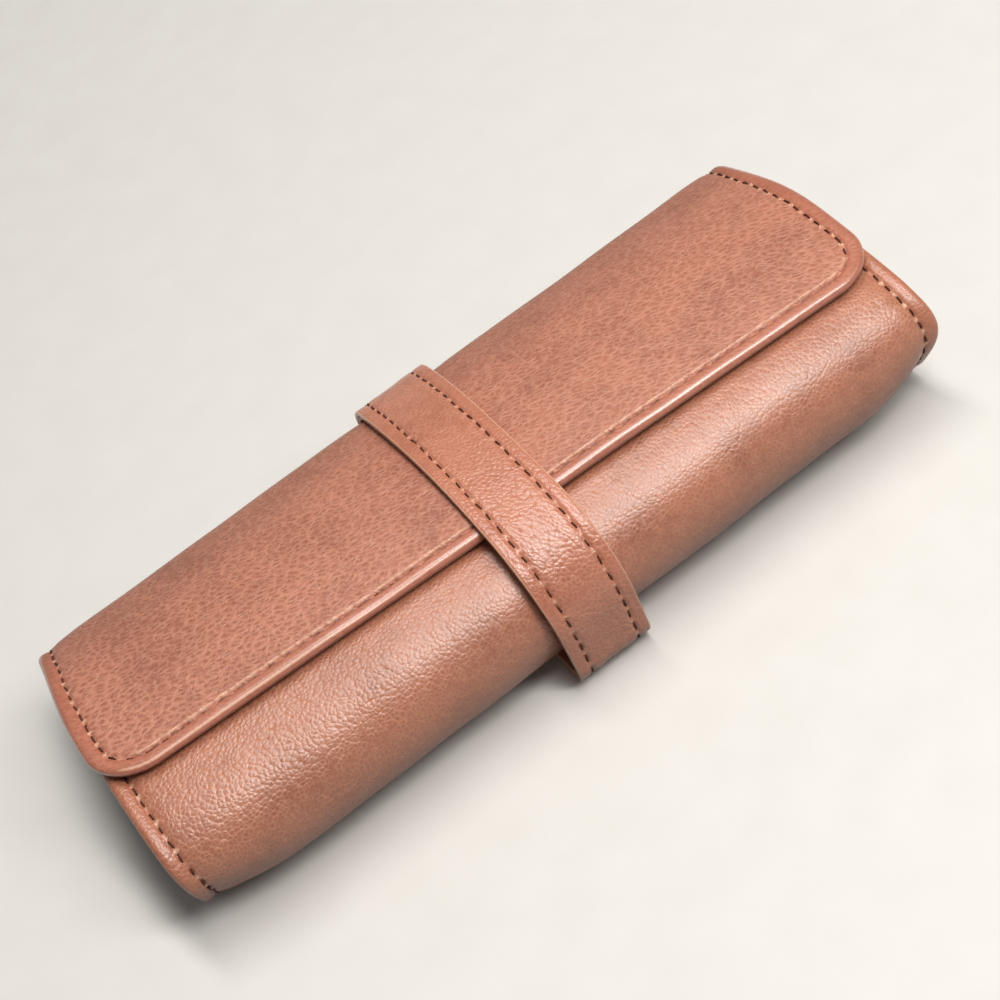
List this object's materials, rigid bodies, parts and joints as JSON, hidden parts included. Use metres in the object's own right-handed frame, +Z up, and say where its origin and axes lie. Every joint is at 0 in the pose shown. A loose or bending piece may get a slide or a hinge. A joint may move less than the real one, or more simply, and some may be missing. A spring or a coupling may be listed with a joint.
{
  "type": "fountain pen case",
  "caption": "Flat leather pen case: a lined trough with pen channels under a stitched flap, held shut by a leather ring band that slides off over the end.",
  "frame": {"origin": "middle of the footprint, on the surface that the band's lower run lies on", "axes": "+X along the case to its right end, -Y towards the front under the flap's edge, +Z up"},
  "size_m": [0.165, 0.0762, 0.0342],
  "materials": {
    "case_leather": "pebbled full-grain leather, reddish brown, satin",
    "flap_leather": "creased full-grain leather, reddish brown, satin",
    "band_leather": "fine-grained leather, reddish brown, satin",
    "lining": "sueded split leather, brown, matt",
    "stiffener": "bonded leather board, tan, matt",
    "thread": "waxed thread, dark brown"
  },
  "bodies": {
    "case": {"shell_leather": "case_leather", "shell_board": "stiffener", "shell_lining": "lining", "end_wall_left": "case_leather", "end_wall_right": "case_leather", "pen_divider_front": "lining", "pen_divider_back": "lining", "divider_seam": "thread", "end_seam_left": "thread", "end_seam_right": "thread", "lip_seam": "thread"},
    "flap": {"flap_leather": "flap_leather", "flap_board": "stiffener", "flap_lining": "lining", "flap_seam": "thread"},
    "band": {"band_leather": "band_leather", "band_lining": "lining", "band_seam_left": "thread", "band_seam_right": "thread", "band_lap_seam": "thread"}
  },
  "joints": [
    {"name": "band_slide", "type": "slide", "parent": "case", "child": "band", "axis": [1, 0, 0], "range_m": [0, 0.105], "deforming": ["band_leather", "band_lining", "band_seam_left", "band_seam_right", "band_lap_seam"]},
    {"name": "flap_open", "type": "hinge", "parent": "case", "child": "flap", "pos_m": [0, 0.03305, 0.02156], "axis": [-1, 0, 0], "range_deg": [0, 170]}
  ],
  "couplings": [
    {"joint": "flap_open", "follows": "band_slide", "rad_per_m": 28.258}
  ]
}
